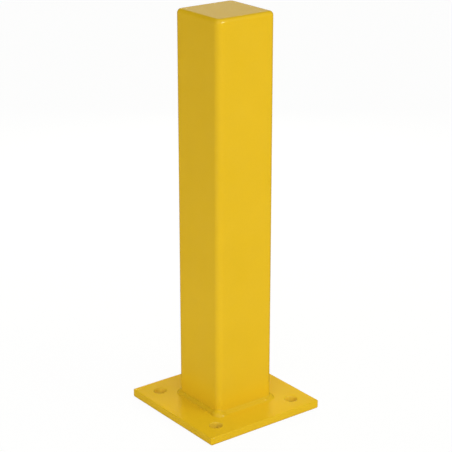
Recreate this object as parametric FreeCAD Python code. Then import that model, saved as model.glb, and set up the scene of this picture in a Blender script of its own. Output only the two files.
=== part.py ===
# Surface-mounted steel bollard: a square hollow post standing on a drilled square base plate, fillet
# welded all round at its foot and closed at the top by a flat plate whose weld is ground round.
# Millimetres, +Z up. The origin is the middle of the base plate's underside; the post is centred on it.
import FreeCAD, Part
import math
import os

IN = 25.4

# Overall
overall_height = 24 * IN          # underside of the base plate to the flat top

# Base plate
plate_side = 8 * IN               # square
plate_t = 0.5 * IN
plate_corner_r = 3.2              # corners in plan
plate_top_edge_r = 1.4            # broken upper edge
plate_low_edge_r = 2.6            # broken lower edge
hole_d = 0.75 * IN                # anchor holes, one near each corner
hole_spacing = 5.625 * IN         # centre to centre, both ways
hole_rim_r = 1.5                  # rounded rims

# Post: square hollow section
tube_side = 4 * IN
tube_wall = 3 / 16 * IN
tube_corner_r = 2 * tube_wall     # outside corners, cold formed

# Closed top: a flat plate on the end of the post, set in by half the wall, with the weld ground round
cap_t = 0.25 * IN
cap_inset = tube_wall / 2
top_edge_r = 6.0

# Fillet weld round the foot of the post
weld_leg_plate = 7.2              # along the plate; the bead sags a little on to it
weld_leg_post = 5.4               # up the post
weld_crown = 0.8                  # how far the bead stands out from a flat face


V = FreeCAD.Vector
UP = V(0, 0, 1)


def rounded_square(side, r, z, height):
    """Upright prism on a square with rounded corners, standing at z."""
    h, k, m = side / 2, side / 2 - r, r * math.sqrt(0.5)
    edges = []
    for sx, sy, run in ((1, 1, "y"), (-1, 1, "x"), (-1, -1, "y"), (1, -1, "x")):
        # the flat run that leads up to this corner, then the corner itself, anticlockwise
        if run == "y":
            start, end, last = V(sx * h, -sy * k, z), V(sx * h, sy * k, z), V(sx * k, sy * h, z)
        else:
            start, end, last = V(-sx * k, sy * h, z), V(sx * k, sy * h, z), V(sx * h, sy * k, z)
        edges.append(Part.LineSegment(start, end).toShape())
        edges.append(Part.Arc(end, V(sx * (k + m), sy * (k + m), z), last).toShape())
    return Part.Face(Part.Wire(edges)).extrude(UP * height)


def edges_at(shape, z, keep):
    """The edges that lie in the plane at z and whose middle passes the test keep(x, y)."""
    out = []
    for e in shape.Edges:
        b = e.BoundBox
        if abs(b.ZMin - z) < 1e-6 and abs(b.ZMax - z) < 1e-6:
            c = e.CenterOfMass
            if keep(c.x, c.y):
                out.append(e)
    return out


# --- base plate ------------------------------------------------------------------------------------------
hole_at = [(i * hole_spacing / 2, j * hole_spacing / 2) for i in (-1, 1) for j in (-1, 1)]


def near_hole(x, y):
    return any(math.hypot(x - a, y - b) < hole_d for a, b in hole_at)


base_plate = rounded_square(plate_side, plate_corner_r, 0, plate_t)
for x, y in hole_at:
    base_plate = base_plate.cut(Part.makeCylinder(hole_d / 2, plate_t + 2, V(x, y, -1), UP))
base_plate = base_plate.makeFillet(plate_top_edge_r, edges_at(base_plate, plate_t, lambda x, y: not near_hole(x, y)))
base_plate = base_plate.makeFillet(plate_low_edge_r, edges_at(base_plate, 0, lambda x, y: not near_hole(x, y)))
base_plate = base_plate.makeFillet(
    hole_rim_r, edges_at(base_plate, plate_t, near_hole) + edges_at(base_plate, 0, near_hole)
)

# --- post ------------------------------------------------------------------------------------------------
tube_top = overall_height - cap_t
tube_height = tube_top - plate_t
post_tube = rounded_square(tube_side, tube_corner_r, plate_t, tube_height).cut(
    rounded_square(tube_side - 2 * tube_wall, tube_corner_r - tube_wall, plate_t - 1, tube_height + 2)
)

# --- closed top ------------------------------------------------------------------------------------------
# The cap plate and the weld round it are one ground outline, parted along the edge of the cap plate.
head = rounded_square(tube_side, tube_corner_r, tube_top, cap_t)
head = head.makeFillet(top_edge_r, edges_at(head, overall_height, lambda x, y: True))
within_cap = rounded_square(tube_side - 2 * cap_inset, tube_corner_r - cap_inset, tube_top - 1, cap_t + 2)
top_cap = head.common(within_cap)
cap_weld = head.cut(within_cap)

# --- fillet weld -----------------------------------------------------------------------------------------
# One convex bead, carried along each side of the post and turned round each corner.
half = tube_side / 2
straight = half - tube_corner_r


def bead_section(y):
    """The bead's section on the +X side of the post, in the plane at y."""
    foot, toe, root = V(half + weld_leg_plate, y, plate_t), V(half, y, plate_t + weld_leg_post), V(half, y, plate_t)
    slant = math.hypot(weld_leg_plate, weld_leg_post)
    out = V(weld_leg_post / slant, 0, weld_leg_plate / slant) * weld_crown
    face = Part.Arc(foot, (foot + toe) * 0.5 + out, toe)
    return Part.Face(Part.Wire([
        Part.LineSegment(root, foot).toShape(), face.toShape(), Part.LineSegment(toe, root).toShape()
    ]))


runs = []
for n in range(4):
    side = bead_section(-straight).extrude(V(0, 2 * straight, 0))
    corner = bead_section(straight).revolve(V(straight, straight, plate_t), UP, 90)
    for piece in (side, corner):
        piece.rotate(V(0, 0, 0), UP, 90 * n)
        runs.append(piece)
base_weld = runs[0].multiFuse(runs[1:]).removeSplitter()

# --- files -----------------------------------------------------------------------------------------------
nodes = {
    "base_plate": base_plate,
    "post_tube": post_tube,
    "top_cap": top_cap,
    "base_weld": base_weld,
    "cap_weld": cap_weld,
}
os.makedirs("parts", exist_ok=True)
for name, shape in nodes.items():
    solids = shape.Solids
    assert len(solids) == 1 and solids[0].isValid() and solids[0].isClosed(), name
    solids[0].exportStep("parts/%s.step" % name)
    b = solids[0].optimalBoundingBox()
    print("%-12s %10.1f mm3  x %.2f..%.2f  y %.2f..%.2f  z %.2f..%.2f" % (
        name, solids[0].Volume, b.XMin, b.XMax, b.YMin, b.YMax, b.ZMin, b.ZMax))
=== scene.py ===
"""Looks of the square steel bollard: painted tube, ground cap, rippled fillet weld and drilled base plate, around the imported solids."""
import math

import bmesh
import bpy
import numpy as np
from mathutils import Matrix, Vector, geometry, noise


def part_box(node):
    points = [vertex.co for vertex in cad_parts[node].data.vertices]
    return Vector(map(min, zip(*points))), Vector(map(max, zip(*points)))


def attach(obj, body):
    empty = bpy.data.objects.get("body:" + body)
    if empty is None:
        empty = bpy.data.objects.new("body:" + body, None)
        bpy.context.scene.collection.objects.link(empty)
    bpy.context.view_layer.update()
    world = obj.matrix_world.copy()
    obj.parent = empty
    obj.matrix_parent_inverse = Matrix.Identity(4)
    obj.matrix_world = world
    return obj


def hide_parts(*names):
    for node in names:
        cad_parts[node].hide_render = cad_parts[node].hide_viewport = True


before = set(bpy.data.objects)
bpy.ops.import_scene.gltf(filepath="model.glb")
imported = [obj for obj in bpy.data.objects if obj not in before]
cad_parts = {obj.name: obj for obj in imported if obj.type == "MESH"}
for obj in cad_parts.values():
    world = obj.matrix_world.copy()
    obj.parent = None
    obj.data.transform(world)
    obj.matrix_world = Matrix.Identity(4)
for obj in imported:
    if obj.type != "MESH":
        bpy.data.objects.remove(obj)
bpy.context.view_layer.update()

MM = 0.001

# ---------------------------------------------------------------- sizes, in mm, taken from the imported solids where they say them
plate_lo, plate_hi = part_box("base_plate")
tube_lo, tube_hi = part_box("post_tube")
cap_lo, cap_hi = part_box("top_cap")
bead_lo, bead_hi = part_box("base_weld")
PLATE = (plate_hi[0] - plate_lo[0]) / MM
PLATE_T = plate_hi[2] / MM
TUBE = (tube_hi[0] - tube_lo[0]) / MM
TUBE_Z0, TUBE_Z1 = tube_lo[2] / MM, tube_hi[2] / MM
CAP_SIDE = (cap_hi[0] - cap_lo[0]) / MM
TOP = cap_hi[2] / MM - 0.001
TUBE_R, WALL = 9.525, 4.7625
PLATE_R = 3.2
HOLE_D, HOLE_GAP = 18.6, 142.875          # 19.05 drilled, less the coat
EDGE_R = 5.95
CAP_IN = (TUBE - CAP_SIDE) / 2
LEG_OUT = bead_hi[0] / MM - TUBE / 2
LEG_UP = bead_hi[2] / MM - PLATE_T


# ---------------------------------------------------------------- mesh helpers
def outline(side, radius, per_corner, per_flat):
    """Round a square with rounded corners, counter-clockwise from the left end of its -Y side.
    Rows of x, y, normal x, normal y, distance along, and place along its flat (-1 in a corner)."""
    half, k = side / 2, side / 2 - radius
    rows, s = [], 0.0
    ways = [((-k, -half), (k, -half), (0, -1)), ((half, -k), (half, k), (1, 0)),
            ((k, half), (-k, half), (0, 1)), ((-half, k), (-half, -k), (-1, 0))]
    corners = [((k, -k), -90), ((k, k), 0), ((-k, k), 90), ((-k, -k), 180)]
    for (a, b, n), (c, start) in zip(ways, corners):
        for i in range(per_flat):
            t = i / per_flat
            rows.append((a[0] + (b[0] - a[0]) * t, a[1] + (b[1] - a[1]) * t, n[0], n[1], s + 2 * k * t, t))
        s += 2 * k
        for j in range(per_corner):
            g = math.radians(start + 90 * j / per_corner)
            rows.append((c[0] + radius * math.cos(g), c[1] + radius * math.sin(g), math.cos(g), math.sin(g),
                         s + radius * math.radians(90 * j / per_corner), -1.0))
        s += radius * math.pi / 2
    return np.array(rows), s


def ring(path, d, z):
    """The outline moved in by d, at height z. Both may be arrays."""
    d = np.broadcast_to(d, len(path))
    z = np.broadcast_to(z, len(path))
    return np.stack([path[:, 0] - d * path[:, 2], path[:, 1] - d * path[:, 3], z], 1)


def loop_noise(s, length, size, seed):
    """Smooth noise from about -1 to 1 that joins up with itself round a path of that length; size is that of its features."""
    k = length / (2 * math.pi * size)
    g = 2 * math.pi * np.asarray(s) / length
    return np.array([1.6 * noise.noise(Vector((k * math.cos(a) + 7.3 * seed, k * math.sin(a) - 3.1 * seed, 1.7 * seed))) for a in g])


def field_noise(points, size, seed):
    return np.array([1.6 * noise.noise(Vector((x / size + 5.7 * seed, y / size - 2.9 * seed, z / size + 1.3 * seed))) for x, y, z in points])


def add_rings(bm, rings, closed=False):
    """Joins rings of equally many points by quads. Returns the vertices of each ring."""
    made = [[bm.verts.new(Vector(p) * MM) for p in r] for r in rings]
    pairs = list(zip(made, made[1:])) + ([(made[-1], made[0])] if closed else [])
    for low, high in pairs:
        for i in range(len(low)):
            j = (i + 1) % len(low)
            bm.faces.new((low[i], low[j], high[j], high[i]))
    return made


def piece(name, bm, nodes, material, sharp=38):
    bmesh.ops.recalc_face_normals(bm, faces=bm.faces)
    mesh = bpy.data.meshes.new(name)
    bm.to_mesh(mesh)
    bm.free()
    for p in mesh.polygons:
        p.use_smooth = True
    mesh.set_sharp_from_angle(angle=math.radians(sharp))
    mesh.materials.append(material)
    ob = bpy.data.objects.new(name, mesh)
    bpy.context.scene.collection.objects.link(ob)
    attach(ob, "root")
    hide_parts(*nodes)
    return ob


# ---------------------------------------------------------------- paint
def node(tree, kind, **sets):
    n = tree.nodes.new(kind)
    for k, v in sets.items():
        if k in n.inputs:
            n.inputs[k].default_value = v
        else:
            setattr(n, k, v)
    return n


def paint(name, peel=1.0, grain=0.0, slope_shade=0.0, upright_shade=0.0, hole_light=0.0):
    """Glossy yellow powder coat: slight drift of colour and gloss over the surface, fine speckle, orange peel; where
    asked, painted shade on slopes and upright faces and painted light inside the drilled holes.
    """
    m = bpy.data.materials.new(name)
    m.use_nodes = True
    t = m.node_tree
    t.nodes.clear()
    out = node(t, "ShaderNodeOutputMaterial")
    b = node(t, "ShaderNodeBsdfPrincipled")
    t.links.new(b.outputs["BSDF"], out.inputs["Surface"])
    b.inputs["Metallic"].default_value = 0.0
    b.inputs["IOR"].default_value = 1.5
    b.inputs["Specular IOR Level"].default_value = 0.36
    at = node(t, "ShaderNodeTexCoord").outputs["Object"]

    def noisy(scale, detail, rough=0.5):
        n = node(t, "ShaderNodeTexNoise", Scale=scale, Detail=detail, Roughness=rough)
        t.links.new(at, n.inputs["Vector"])
        return n.outputs["Fac"]

    def spread(value, low, high, to_low, to_high):
        n = node(t, "ShaderNodeMapRange")
        n.inputs["From Min"].default_value = low
        n.inputs["From Max"].default_value = high
        n.inputs["To Min"].default_value = to_low
        n.inputs["To Max"].default_value = to_high
        t.links.new(value, n.inputs["Value"])
        return n.outputs["Result"]

    # colour: two close yellows drifting over hand-sized areas, then a fine speckle of the coat's thickness
    mix = node(t, "ShaderNodeMix", data_type="RGBA")
    for s in mix.inputs:
        if s.name == "A" and s.type == "RGBA":
            s.default_value = (0.742, 0.461, 0.0135, 1)
        if s.name == "B" and s.type == "RGBA":
            s.default_value = (0.764, 0.477, 0.0165, 1)
    t.links.new(spread(noisy(11, 3), 0.3, 0.7, 0, 1), mix.inputs["Factor"])
    hsv = node(t, "ShaderNodeHueSaturation")
    t.links.new(next(s for s in mix.outputs if s.type == "RGBA"), hsv.inputs["Color"])
    bright = spread(noisy(700, 2), 0.3, 0.7, 0.985, 1.012)

    def calc(op, a, c):
        n = node(t, "ShaderNodeMath", operation=op)
        for i, v in enumerate((a, c)):
            if isinstance(v, (int, float)):
                n.inputs[i].default_value = v
            else:
                t.links.new(v, n.inputs[i])
        return n.outputs[0]

    if hole_light:
        # painted light: inside the drilled holes the colour is made brighter, a little paler and a touch yellower, to
        # lift the shade that falls in them
        place = node(t, "ShaderNodeSeparateXYZ")
        t.links.new(at, place.inputs[0])
        off = [calc("SUBTRACT", calc("ABSOLUTE", place.outputs[k], 0.0), HOLE_GAP / 2 * MM) for k in "XY"]
        far = calc("POWER", calc("ADD", calc("MULTIPLY", off[0], off[0]), calc("MULTIPLY", off[1], off[1])), 0.5)
        edge = ((HOLE_D / 2 + 0.05) * MM, (HOLE_D / 2 + 0.75) * MM)
        bright = calc("MULTIPLY", bright, spread(far, *edge, 1.0 + hole_light, 1.0))
        t.links.new(spread(far, *edge, 1.0 - 0.3 * hole_light, 1.0), hsv.inputs["Saturation"])
        t.links.new(spread(far, *edge, 0.5 + 0.06 * hole_light, 0.5), hsv.inputs["Hue"])
    if slope_shade or upright_shade:
        # painted shade: the colour is darkened on rounded edges and slopes, most at 45 degrees where they take the most
        # light, and a little on upright faces
        facing = node(t, "ShaderNodeSeparateXYZ")
        t.links.new(node(t, "ShaderNodeNewGeometry").outputs["Normal"], facing.inputs[0])
        z2 = calc("MULTIPLY", facing.outputs["Z"], facing.outputs["Z"])
        sloped = calc("POWER", calc("MULTIPLY", calc("MULTIPLY", z2, calc("SUBTRACT", 1.0, z2)), 4.0), 0.5)
        less = calc("ADD", calc("MULTIPLY", sloped, slope_shade), calc("MULTIPLY", calc("SUBTRACT", 1.0, z2), upright_shade))
        bright = calc("MULTIPLY", bright, calc("SUBTRACT", 1.0, less))
    t.links.new(bright, hsv.inputs["Value"])
    t.links.new(hsv.outputs["Color"], b.inputs["Base Color"])

    # gloss: a little patchy
    t.links.new(spread(noisy(38, 3), 0.3, 0.7, 0.15, 0.21), b.inputs["Roughness"])

    # orange peel, and under it the steel's own unevenness
    bump = node(t, "ShaderNodeBump")
    bump.inputs["Strength"].default_value = 0.5
    bump.inputs["Distance"].default_value = 0.000016 * peel
    t.links.new(noisy(360, 1.5), bump.inputs["Height"])
    under = node(t, "ShaderNodeBump")
    under.inputs["Strength"].default_value = 0.5
    under.inputs["Distance"].default_value = 0.00003 + 0.00005 * grain
    t.links.new(noisy(70, 2), under.inputs["Height"])
    t.links.new(under.outputs["Normal"], bump.inputs["Normal"])
    t.links.new(bump.outputs["Normal"], b.inputs["Normal"])
    return m


paint_post = paint("paint_post", peel=1.0)
# the cap, plate and weld coats carry painted shade on their rounded edges and slopes; the plate's coat also carries
# painted light inside its holes
paint_cap = paint("paint_cap", peel=1.0, slope_shade=0.06)
paint_plate = paint("paint_plate", peel=1.0, grain=0.6, slope_shade=0.08, upright_shade=0.03, hole_light=0.115)
paint_weld = paint("paint_weld", peel=0.7, slope_shade=0.11)

# ---------------------------------------------------------------- post: square hollow section, hardly hollowed faces
path, around = outline(TUBE, TUBE_R, 12, 22)
rows = np.linspace(TUBE_Z0, TUBE_Z1, 96)
bow = np.where(path[:, 5] >= 0, 0.14 * np.sin(np.pi * np.clip(path[:, 5], 0, 1)) ** 2, 0.0)
rings = []
for z in rows:
    fade = min(1.0, (z - TUBE_Z0) / 30, (TUBE_Z1 - z) / 30)
    flat = ring(path, 0.0, z)
    rings.append(ring(path, fade * (bow + 0.05 * field_noise(flat, 95, 2)), z))
for z in np.linspace(TUBE_Z1, TUBE_Z0, 8):
    rings.append(ring(path, WALL, z))
bm = bmesh.new()
add_rings(bm, rings, closed=True)
post = piece("post_skin", bm, ["post_tube"], paint_post)

# ---------------------------------------------------------------- top: cap plate and the ground weld round it
path, around = outline(TUBE, TUBE_R, 24, 40)
uneven = 0.20 * loop_noise(path[:, 4], around, 22, 3) + 0.07 * loop_noise(path[:, 4], around, 6, 4)
edge_r = np.minimum(EDGE_R + uneven, TOP - TUBE_Z1 - 0.04)
seam = math.acos(1 - CAP_IN / EDGE_R)


def flats(points):
    """Small flats that the grinder left on the corners: each trims what stands past its plane, with soft ends."""
    for facing, deep in FLATS:
        n = np.array(facing) / np.linalg.norm(facing)
        past = points @ n - (reach(n) - deep)
        points = points - np.outer(0.06 * np.logaddexp(0, np.clip(past / 0.06, -60, 60)), n)
    return points


def reach(n):
    """How far the rounded top edge reaches along a direction."""
    flat_way = math.hypot(n[0], n[1])
    k = TUBE / 2 - TUBE_R
    return k * (abs(n[0]) + abs(n[1])) + (TUBE_R - EDGE_R) * flat_way + (TOP - EDGE_R) * n[2] + EDGE_R


def compass(az, el):
    a, e = math.radians(az), math.radians(el)
    return (math.sin(a) * math.cos(e), -math.cos(a) * math.cos(e), math.sin(e))


FLATS = [(compass(-5.3, 19.4), 0.22), (compass(81, 30), 0.25), (compass(140, 35), 0.3), (compass(-128, 28), 0.25)]


def over_edge(angle):
    """The ground edge: from the post's face (0) over to the flat top (90 degrees)."""
    return flats(ring(path, edge_r * (1 - math.cos(angle)), TOP - edge_r + edge_r * math.sin(angle)))


bm = bmesh.new()
rings = [ring(path, 0, TUBE_Z1)]
rings += [over_edge(a) for a in np.linspace(0, seam, 15)]
inner_top = rings[-1].copy()
inner_low = inner_top.copy()
inner_low[:, 2] = TUBE_Z1
rings.append(inner_low)
add_rings(bm, rings, closed=True)
piece("cap_seam", bm, ["cap_weld"], paint_cap, sharp=50)

bm = bmesh.new()
rings = [inner_low]
rings += [over_edge(a) for a in np.linspace(seam, math.pi / 2, 9)]
rings += [ring(path, edge_r + 0.15, TOP), ring(path, 8.6, TOP)]
made = add_rings(bm, rings)
bm.faces.new(made[-1])
bm.faces.new(list(reversed(made[0])))
piece("cap_face", bm, ["top_cap"], paint_cap, sharp=50)

# ---------------------------------------------------------------- base plate: soft edges, four drilled holes
path, _ = outline(PLATE, PLATE_R, 10, 40)
low_r, high_r, rim_r = 2.6, 1.4, 1.6


def arc(r, steps):
    return [(r * (1 - math.sin(g)), r * (1 - math.cos(g))) for g in np.linspace(0, math.pi / 2, steps)]


bm = bmesh.new()
IN = 2.8
side = [(IN, 0.0)]
side += [(d, z) for d, z in arc(low_r, 9)]
side += [(0.0, PLATE_T * f) for f in (0.3, 0.5, 0.75)]
side += [(d, PLATE_T - z) for d, z in reversed(arc(high_r, 8))]
side += [(IN, PLATE_T)]
wave = 0.10 * field_noise(ring(path, 0, 0), 30, 8)
rings = [ring(path, d + np.abs(wave) * (1 if 0 < z < PLATE_T else 0.0), z) for d, z in side]
rim = add_rings(bm, rings)

HOLE_N = 56
hole_rims = []
for cx, cy in ((-1, -1), (1, -1), (1, 1), (-1, 1)):
    g = np.linspace(0, 2 * math.pi, HOLE_N, endpoint=False)
    shape = [(HOLE_D / 2 + rim_r + 0.45, PLATE_T)]
    shape += [(HOLE_D / 2 + d, PLATE_T - z) for d, z in arc(rim_r, 7)]
    shape += [(HOLE_D / 2, PLATE_T * f) for f in (0.7, 0.4)]
    shape += [(HOLE_D / 2 + d, z) for d, z in reversed(arc(1.0, 5))]
    shape += [(HOLE_D / 2 + rim_r + 0.45, 0.0)]
    rings = [np.stack([cx * HOLE_GAP / 2 + r * np.cos(g), cy * HOLE_GAP / 2 + r * np.sin(g), np.full(HOLE_N, z)], 1) for r, z in shape]
    made = add_rings(bm, rings)
    hole_rims.append((made[0], made[-1]))


def fill_flat(outer, holes, z):
    """Triangles over a flat face between its outer ring and the holes' rings, with a loose grid of points for even shapes."""
    loops = [outer, *holes]
    verts = [v for l in loops for v in l]
    xy = [v.co.to_2d() for v in verts]
    edges, at = [], 0
    for l in loops:
        edges += [(at + i, at + (i + 1) % len(l)) for i in range(len(l))]
        at += len(l)
    centres = [sum((v.co.to_2d() for v in h), Vector((0, 0))) / len(h) for h in holes]
    keep_r = (HOLE_D / 2 + rim_r + 0.45) * MM
    lim = (PLATE / 2 - IN - 3.5) * MM
    grid = np.arange(-96, 96.1, 8.0) * MM
    for x in grid:
        for y in grid:
            if abs(x) < lim and abs(y) < lim and all((Vector((x, y)) - c).length > keep_r + 0.004 for c in centres):
                xy.append(Vector((x, y)))
                verts.append(bm.verts.new((x, y, z * MM)))
    out = geometry.delaunay_2d_cdt(xy, edges, [], 0, 1e-7)
    back = [o[0] for o in out[3]]
    for tri in out[2]:
        c = sum((out[0][i] for i in tri), Vector((0, 0))) / 3
        if any((c - k).length < keep_r for k in centres):
            continue
        bm.faces.new([verts[back[i]] for i in tri])


fill_flat(rim[-1], [h[0] for h in hole_rims], PLATE_T)
fill_flat(rim[0], [h[1] for h in hole_rims], 0.0)
piece("plate_body", bm, ["base_plate"], paint_plate, sharp=50)

# ---------------------------------------------------------------- base weld: one bead all round, with its ripples
path, around = outline(TUBE, TUBE_R, 44, 150)
s = path[:, 4]
to_right, to_left = np.clip(-path[:, 3], 0, 1) ** 2, np.clip(-path[:, 2], 0, 1) ** 2
elsewhere = 1 - to_right - to_left
corner = np.zeros(len(path))
flat_len = TUBE - 2 * TUBE_R
for i, (much, wide) in enumerate(((0.12, 7.0), (0.5, 8.0), (0.08, 7.0), (1.0, 8.0))):
    mid = (i + 1) * flat_len + (i + 0.5) * TUBE_R * math.pi / 2
    away = np.abs((s - mid + around / 2) % around - around / 2)
    corner = np.maximum(corner, much * np.exp(-(away / wide) ** 2))
stop = np.exp(-((s - 77.5) / 2.6) ** 2)
soft = 1.6 * to_right * (1 - 0.5 * corner) + 0.4 * elsewhere
out_leg = LEG_OUT - 1.0 - 1.3 * to_left + 0.2 * to_right + 0.34 * loop_noise(s, around, 17, 11) + 0.16 * loop_noise(s, around, 5, 12) + 3.8 * corner
up_leg = LEG_UP - 0.6 + 0.3 * to_left + 0.30 * loop_noise(s, around, 14, 13) + 0.14 * loop_noise(s, around, 4.5, 14) + 2.4 * corner + 0.5 * stop
crown = 0.35 * to_right + 1.5 * to_left + 1.5 * elsewhere + 0.2 * loop_noise(s, around, 12, 15) + 0.9 * corner + 0.8 * stop
ripples = 168
phase0 = s / around * ripples + 0.35 * loop_noise(s, around, 11, 16)


def spline_weights(count, steps):
    """Clamped cubic B-spline: weights of count control points at even steps along it."""
    knots = np.concatenate([[0] * 3, np.arange(count - 2), [count - 3] * 3]).astype(float)
    u = np.linspace(0, count - 3 - 1e-9, steps)
    n = np.array([[1.0 if knots[i] <= x < knots[i + 1] else 0.0 for i in range(len(knots) - 1)] for x in u])
    for k in (1, 2, 3):
        m = np.zeros((steps, n.shape[1] - 1))
        for i in range(m.shape[1]):
            a, b = knots[i + k] - knots[i], knots[i + k + 1] - knots[i + 1]
            if a > 0:
                m[:, i] += (u - knots[i]) / a * n[:, i]
            if b > 0:
                m[:, i] += (knots[i + k + 1] - u) / b * n[:, i + 1]
        n = m
    return n


STEPS = 27
weights = spline_weights(7, STEPS)
zero = np.zeros(len(path))
lean = np.hypot(out_leg, up_leg)
ox, oz = up_leg / lean, out_leg / lean
control_d = np.stack([out_leg + 0.45 + 1.5 * soft, out_leg + 0.08 + 0.4 * soft, out_leg - 0.30 - 0.8 * soft + 0.25 * to_left,
                      out_leg / 2 + crown * ox, zero + 1.0 - 0.1 * soft + 0.4 * to_left, zero + 0.02, zero - 0.06])
control_h = np.stack([zero - 0.06, zero + 0.01, zero + 1.0 - 0.2 * soft + 0.4 * to_left,
                      up_leg / 2 + crown * oz, up_leg - 0.30 - 0.8 * soft + 0.25 * to_left, up_leg + 0.08 + 0.4 * soft, up_leg + 0.45 + 1.5 * soft])
rough_bead = 0.05 * to_right + 0.10 * to_left + 0.14 * elsewhere
blob = 0.55 * np.exp(-(((s + 4.0 + around / 2) % around - around / 2) / 3.0) ** 2)
rings = []
for k in range(STEPS):
    u = k / (STEPS - 1)
    d = weights[k] @ control_d
    h = weights[k] @ control_h
    phase = phase0 + 0.75 * (2 * u - 1) ** 2
    wave = 0.5 + 0.5 * np.cos(2 * math.pi * phase)
    lift = rough_bead * math.sin(math.pi * u) ** 1.3 * (wave ** 1.4 - 0.45) + blob * math.exp(-((u - 0.33) / 0.14) ** 2)
    rings.append(ring(path, -(d + lift * ox), PLATE_T + h + lift * oz))
# the stop at the end of the right-hand run is dressed flat
for middle, wide, facing, deep in ((77.5, 4.0, compass(-7, 36), 0.3),):
    n = np.array(facing)
    away = np.abs((s - middle + around / 2) % around - around / 2)
    there = np.clip(2 - away / wide, 0, 1)
    top = max(np.max((r @ n)[away < wide]) for r in rings)
    for k, r in enumerate(rings):
        past = np.clip((r @ n - (top - deep)) / 0.05, -60, 60)
        rings[k] = r - np.outer(there * 0.05 * np.logaddexp(0, past), n)
rings.append(ring(path, 0.25, PLATE_T + 0.4))
rings.append(ring(path, -0.4, PLATE_T - 0.25))
bm = bmesh.new()
add_rings(bm, rings, closed=True)
piece("weld_bead", bm, ["base_weld"], paint_weld, sharp=70)

# ---------------------------------------------------------------- floor
bm = bmesh.new()
bmesh.ops.create_grid(bm, x_segments=8, y_segments=8, size=20)
mesh = bpy.data.meshes.new("floor")
bm.to_mesh(mesh)
bm.free()
floor = bpy.data.objects.new("floor", mesh)
bpy.context.scene.collection.objects.link(floor)
floor.location.z = -0.0003
fm = bpy.data.materials.new("floor_pale")
fm.use_nodes = True
fb = fm.node_tree.nodes["Principled BSDF"]
fb.inputs["Base Color"].default_value = (0.88, 0.88, 0.88, 1)
fb.inputs["Roughness"].default_value = 0.9
fb.inputs["Specular IOR Level"].default_value = 0.0
fb.inputs["Emission Color"].default_value = (1, 1, 1, 1)
fb.inputs["Emission Strength"].default_value = 0.000
# seen straight from the camera the floor is mostly an even white, so the lamps' pools of light don't show on it
f_out = fm.node_tree.nodes["Material Output"]
f_seen = node(fm.node_tree, "ShaderNodeEmission", Strength=1.0)
f_ray = node(fm.node_tree, "ShaderNodeLightPath")
f_part = node(fm.node_tree, "ShaderNodeMath", operation="MULTIPLY")
f_part.inputs[1].default_value = 0.95
f_mix = node(fm.node_tree, "ShaderNodeMixShader")
fm.node_tree.links.new(f_ray.outputs["Is Camera Ray"], f_part.inputs[0])
fm.node_tree.links.new(f_part.outputs[0], f_mix.inputs[0])
fm.node_tree.links.new(fb.outputs[0], f_mix.inputs[1])
fm.node_tree.links.new(f_seen.outputs[0], f_mix.inputs[2])
fm.node_tree.links.new(f_mix.outputs[0], f_out.inputs["Surface"])
mesh.materials.append(fm)
floor.visible_glossy = False


# ---------------------------------------------------------------- light
def toward(az, el):
    """From the object towards a place at this azimuth (0 is -Y, + turns to +X) and elevation."""
    a, e = math.radians(az), math.radians(el)
    return Vector((math.sin(a) * math.cos(e), -math.cos(a) * math.cos(e), math.sin(e)))


world = bpy.data.worlds.new("studio")
bpy.context.scene.world = world
world.use_nodes = True
wt = world.node_tree
wt.nodes.clear()
w_out = node(wt, "ShaderNodeOutputWorld")
w_mix = node(wt, "ShaderNodeMixShader")
lit = node(wt, "ShaderNodeBackground")
seen = node(wt, "ShaderNodeBackground")
lit.inputs["Color"].default_value = (1, 1, 1, 1)
seen.inputs["Color"].default_value = (1, 1, 1, 1)
seen.inputs["Strength"].default_value = 0.98
ray = node(wt, "ShaderNodeLightPath")
wt.links.new(ray.outputs["Is Camera Ray"], w_mix.inputs[0])
wt.links.new(lit.outputs[0], w_mix.inputs[1])
wt.links.new(seen.outputs[0], w_mix.inputs[2])
wt.links.new(w_mix.outputs[0], w_out.inputs["Surface"])
way = node(wt, "ShaderNodeTexCoord").outputs["Generated"]
xyz = node(wt, "ShaderNodeSeparateXYZ")
wt.links.new(way, xyz.inputs[0])


def maths(op, a, b=None):
    n = node(wt, "ShaderNodeMath", operation=op)
    for i, v in enumerate((a, b)):
        if isinstance(v, (int, float)):
            n.inputs[i].default_value = v
        elif v is not None:
            wt.links.new(v, n.inputs[i])
    return n.outputs[0]


above = node(wt, "ShaderNodeMapRange", interpolation_type="SMOOTHSTEP")
above.inputs["From Min"].default_value = -0.06
above.inputs["From Max"].default_value = 0.06
wt.links.new(xyz.outputs["Z"], above.inputs["Value"])
above = above.outputs["Result"]
below = maths("SUBTRACT", 1.0, above)


def lobe(az, el, power):
    dot = node(wt, "ShaderNodeVectorMath", operation="DOT_PRODUCT")
    dot.inputs[1].default_value = toward(az, el)
    wt.links.new(way, dot.inputs[0])
    return maths("POWER", maths("MAXIMUM", dot.outputs["Value"], 0.0), power)


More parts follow.
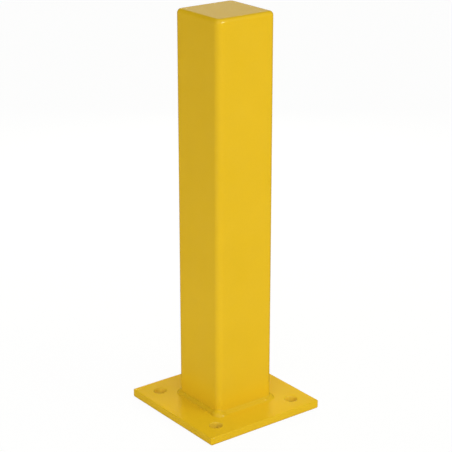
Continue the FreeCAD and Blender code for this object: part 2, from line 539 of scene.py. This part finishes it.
# name, shape, colour times strength, and how much of it glossy rays see
PARTS = [
    ("below", below, (0.071, 0.065, 0.053), 1.0),
    ("right", maths("MULTIPLY", lobe(50, 25, 3.0), above), (0.592, 0.589, 0.457), 0.3),
    ("front_left", maths("MULTIPLY", lobe(-60, 20, 4.0), above), (1.472, 1.405, 1.737), 0.3),
    ("front_high", maths("MULTIPLY", lobe(-15, 60, 6.0), above), (1.604, 1.761, 1.303), 0.3),
    ("back_low", maths("MULTIPLY", lobe(144, 10, 40.0), above), (0.533, 0.520, 0.491), 1.0),
]
glossy = ray.outputs["Is Glossy Ray"]
total = None
for name, shape, colour, kept in PARTS:
    if kept < 1:
        shape = maths("MULTIPLY", shape, maths("SUBTRACT", 1.0, maths("MULTIPLY", glossy, 1.0 - kept)))
    gain = node(wt, "ShaderNodeVectorMath", operation="SCALE", name="gain_" + name)
    gain.inputs[0].default_value = colour
    wt.links.new(shape, gain.inputs["Scale"])
    if total is None:
        total = gain.outputs[0]
    else:
        both = node(wt, "ShaderNodeVectorMath", operation="ADD")
        wt.links.new(total, both.inputs[0])
        wt.links.new(gain.outputs[0], both.inputs[1])
        total = both.outputs[0]
wt.links.new(total, lit.inputs["Color"])
lit.inputs["Strength"].default_value = 1.0


def softbox(name, az, el, away, size, watts, tint=(1, 1, 1), aim=(0, 0, 0.3), mirrored=True):
    data = bpy.data.lights.new(name, "AREA")
    data.shape = "SQUARE"
    data.size = size
    data.energy = watts
    data.color = tint
    ob = bpy.data.objects.new(name, data)
    bpy.context.scene.collection.objects.link(ob)
    ob.location = Vector(aim) + toward(az, el) * away
    ob.rotation_euler = (-toward(az, el)).to_track_quat("-Z", "Y").to_euler()
    ob.visible_camera = False
    ob.visible_glossy = mirrored
    return ob


softbox("key", 26, 28, 2.2, 0.3, 4.98, (0.965, 1.000, 0.784))
softbox("high_right", 12, 38, 1.1, 0.5, 0.67, (1.000, 0.913, 0.750), mirrored=False)
softbox("front_mid", 5, 15, 1.6, 0.9, 2.52, (1.000, 0.928, 0.750), aim=(0, 0, 0.4), mirrored=False)
softbox("back_mid", 143, 18, 1.5, 0.6, 15.01, (1.000, 0.966, 0.767), mirrored=False)
softbox("back_left", -150, 25, 1.5, 0.6, 2.56, (0.867, 0.792, 1.000), mirrored=False)
softbox("low_left", -80, 6, 0.55, 0.3, 0.31, (0.800, 0.892, 1.000), aim=(-0.05, 0, 0.08), mirrored=False)

# ---------------------------------------------------------------- camera, at the photograph's place
cam = bpy.data.cameras.new("camera")
cam.sensor_width = 36
cam.lens = 120.20
cam.clip_end = 200
cam_ob = bpy.data.objects.new("camera", cam)
bpy.context.scene.collection.objects.link(cam_ob)
cam_ob.location = (-1.2579, -1.6624, 1.0466)
cam_ob.rotation_euler = (math.radians(90 - 20.008), 0, math.radians(-37.152))
bpy.context.scene.camera = cam_ob

view = bpy.context.scene.view_settings
view.view_transform = "Standard"
view.look = "None"
view.exposure = 0.0
view.gamma = 1.0
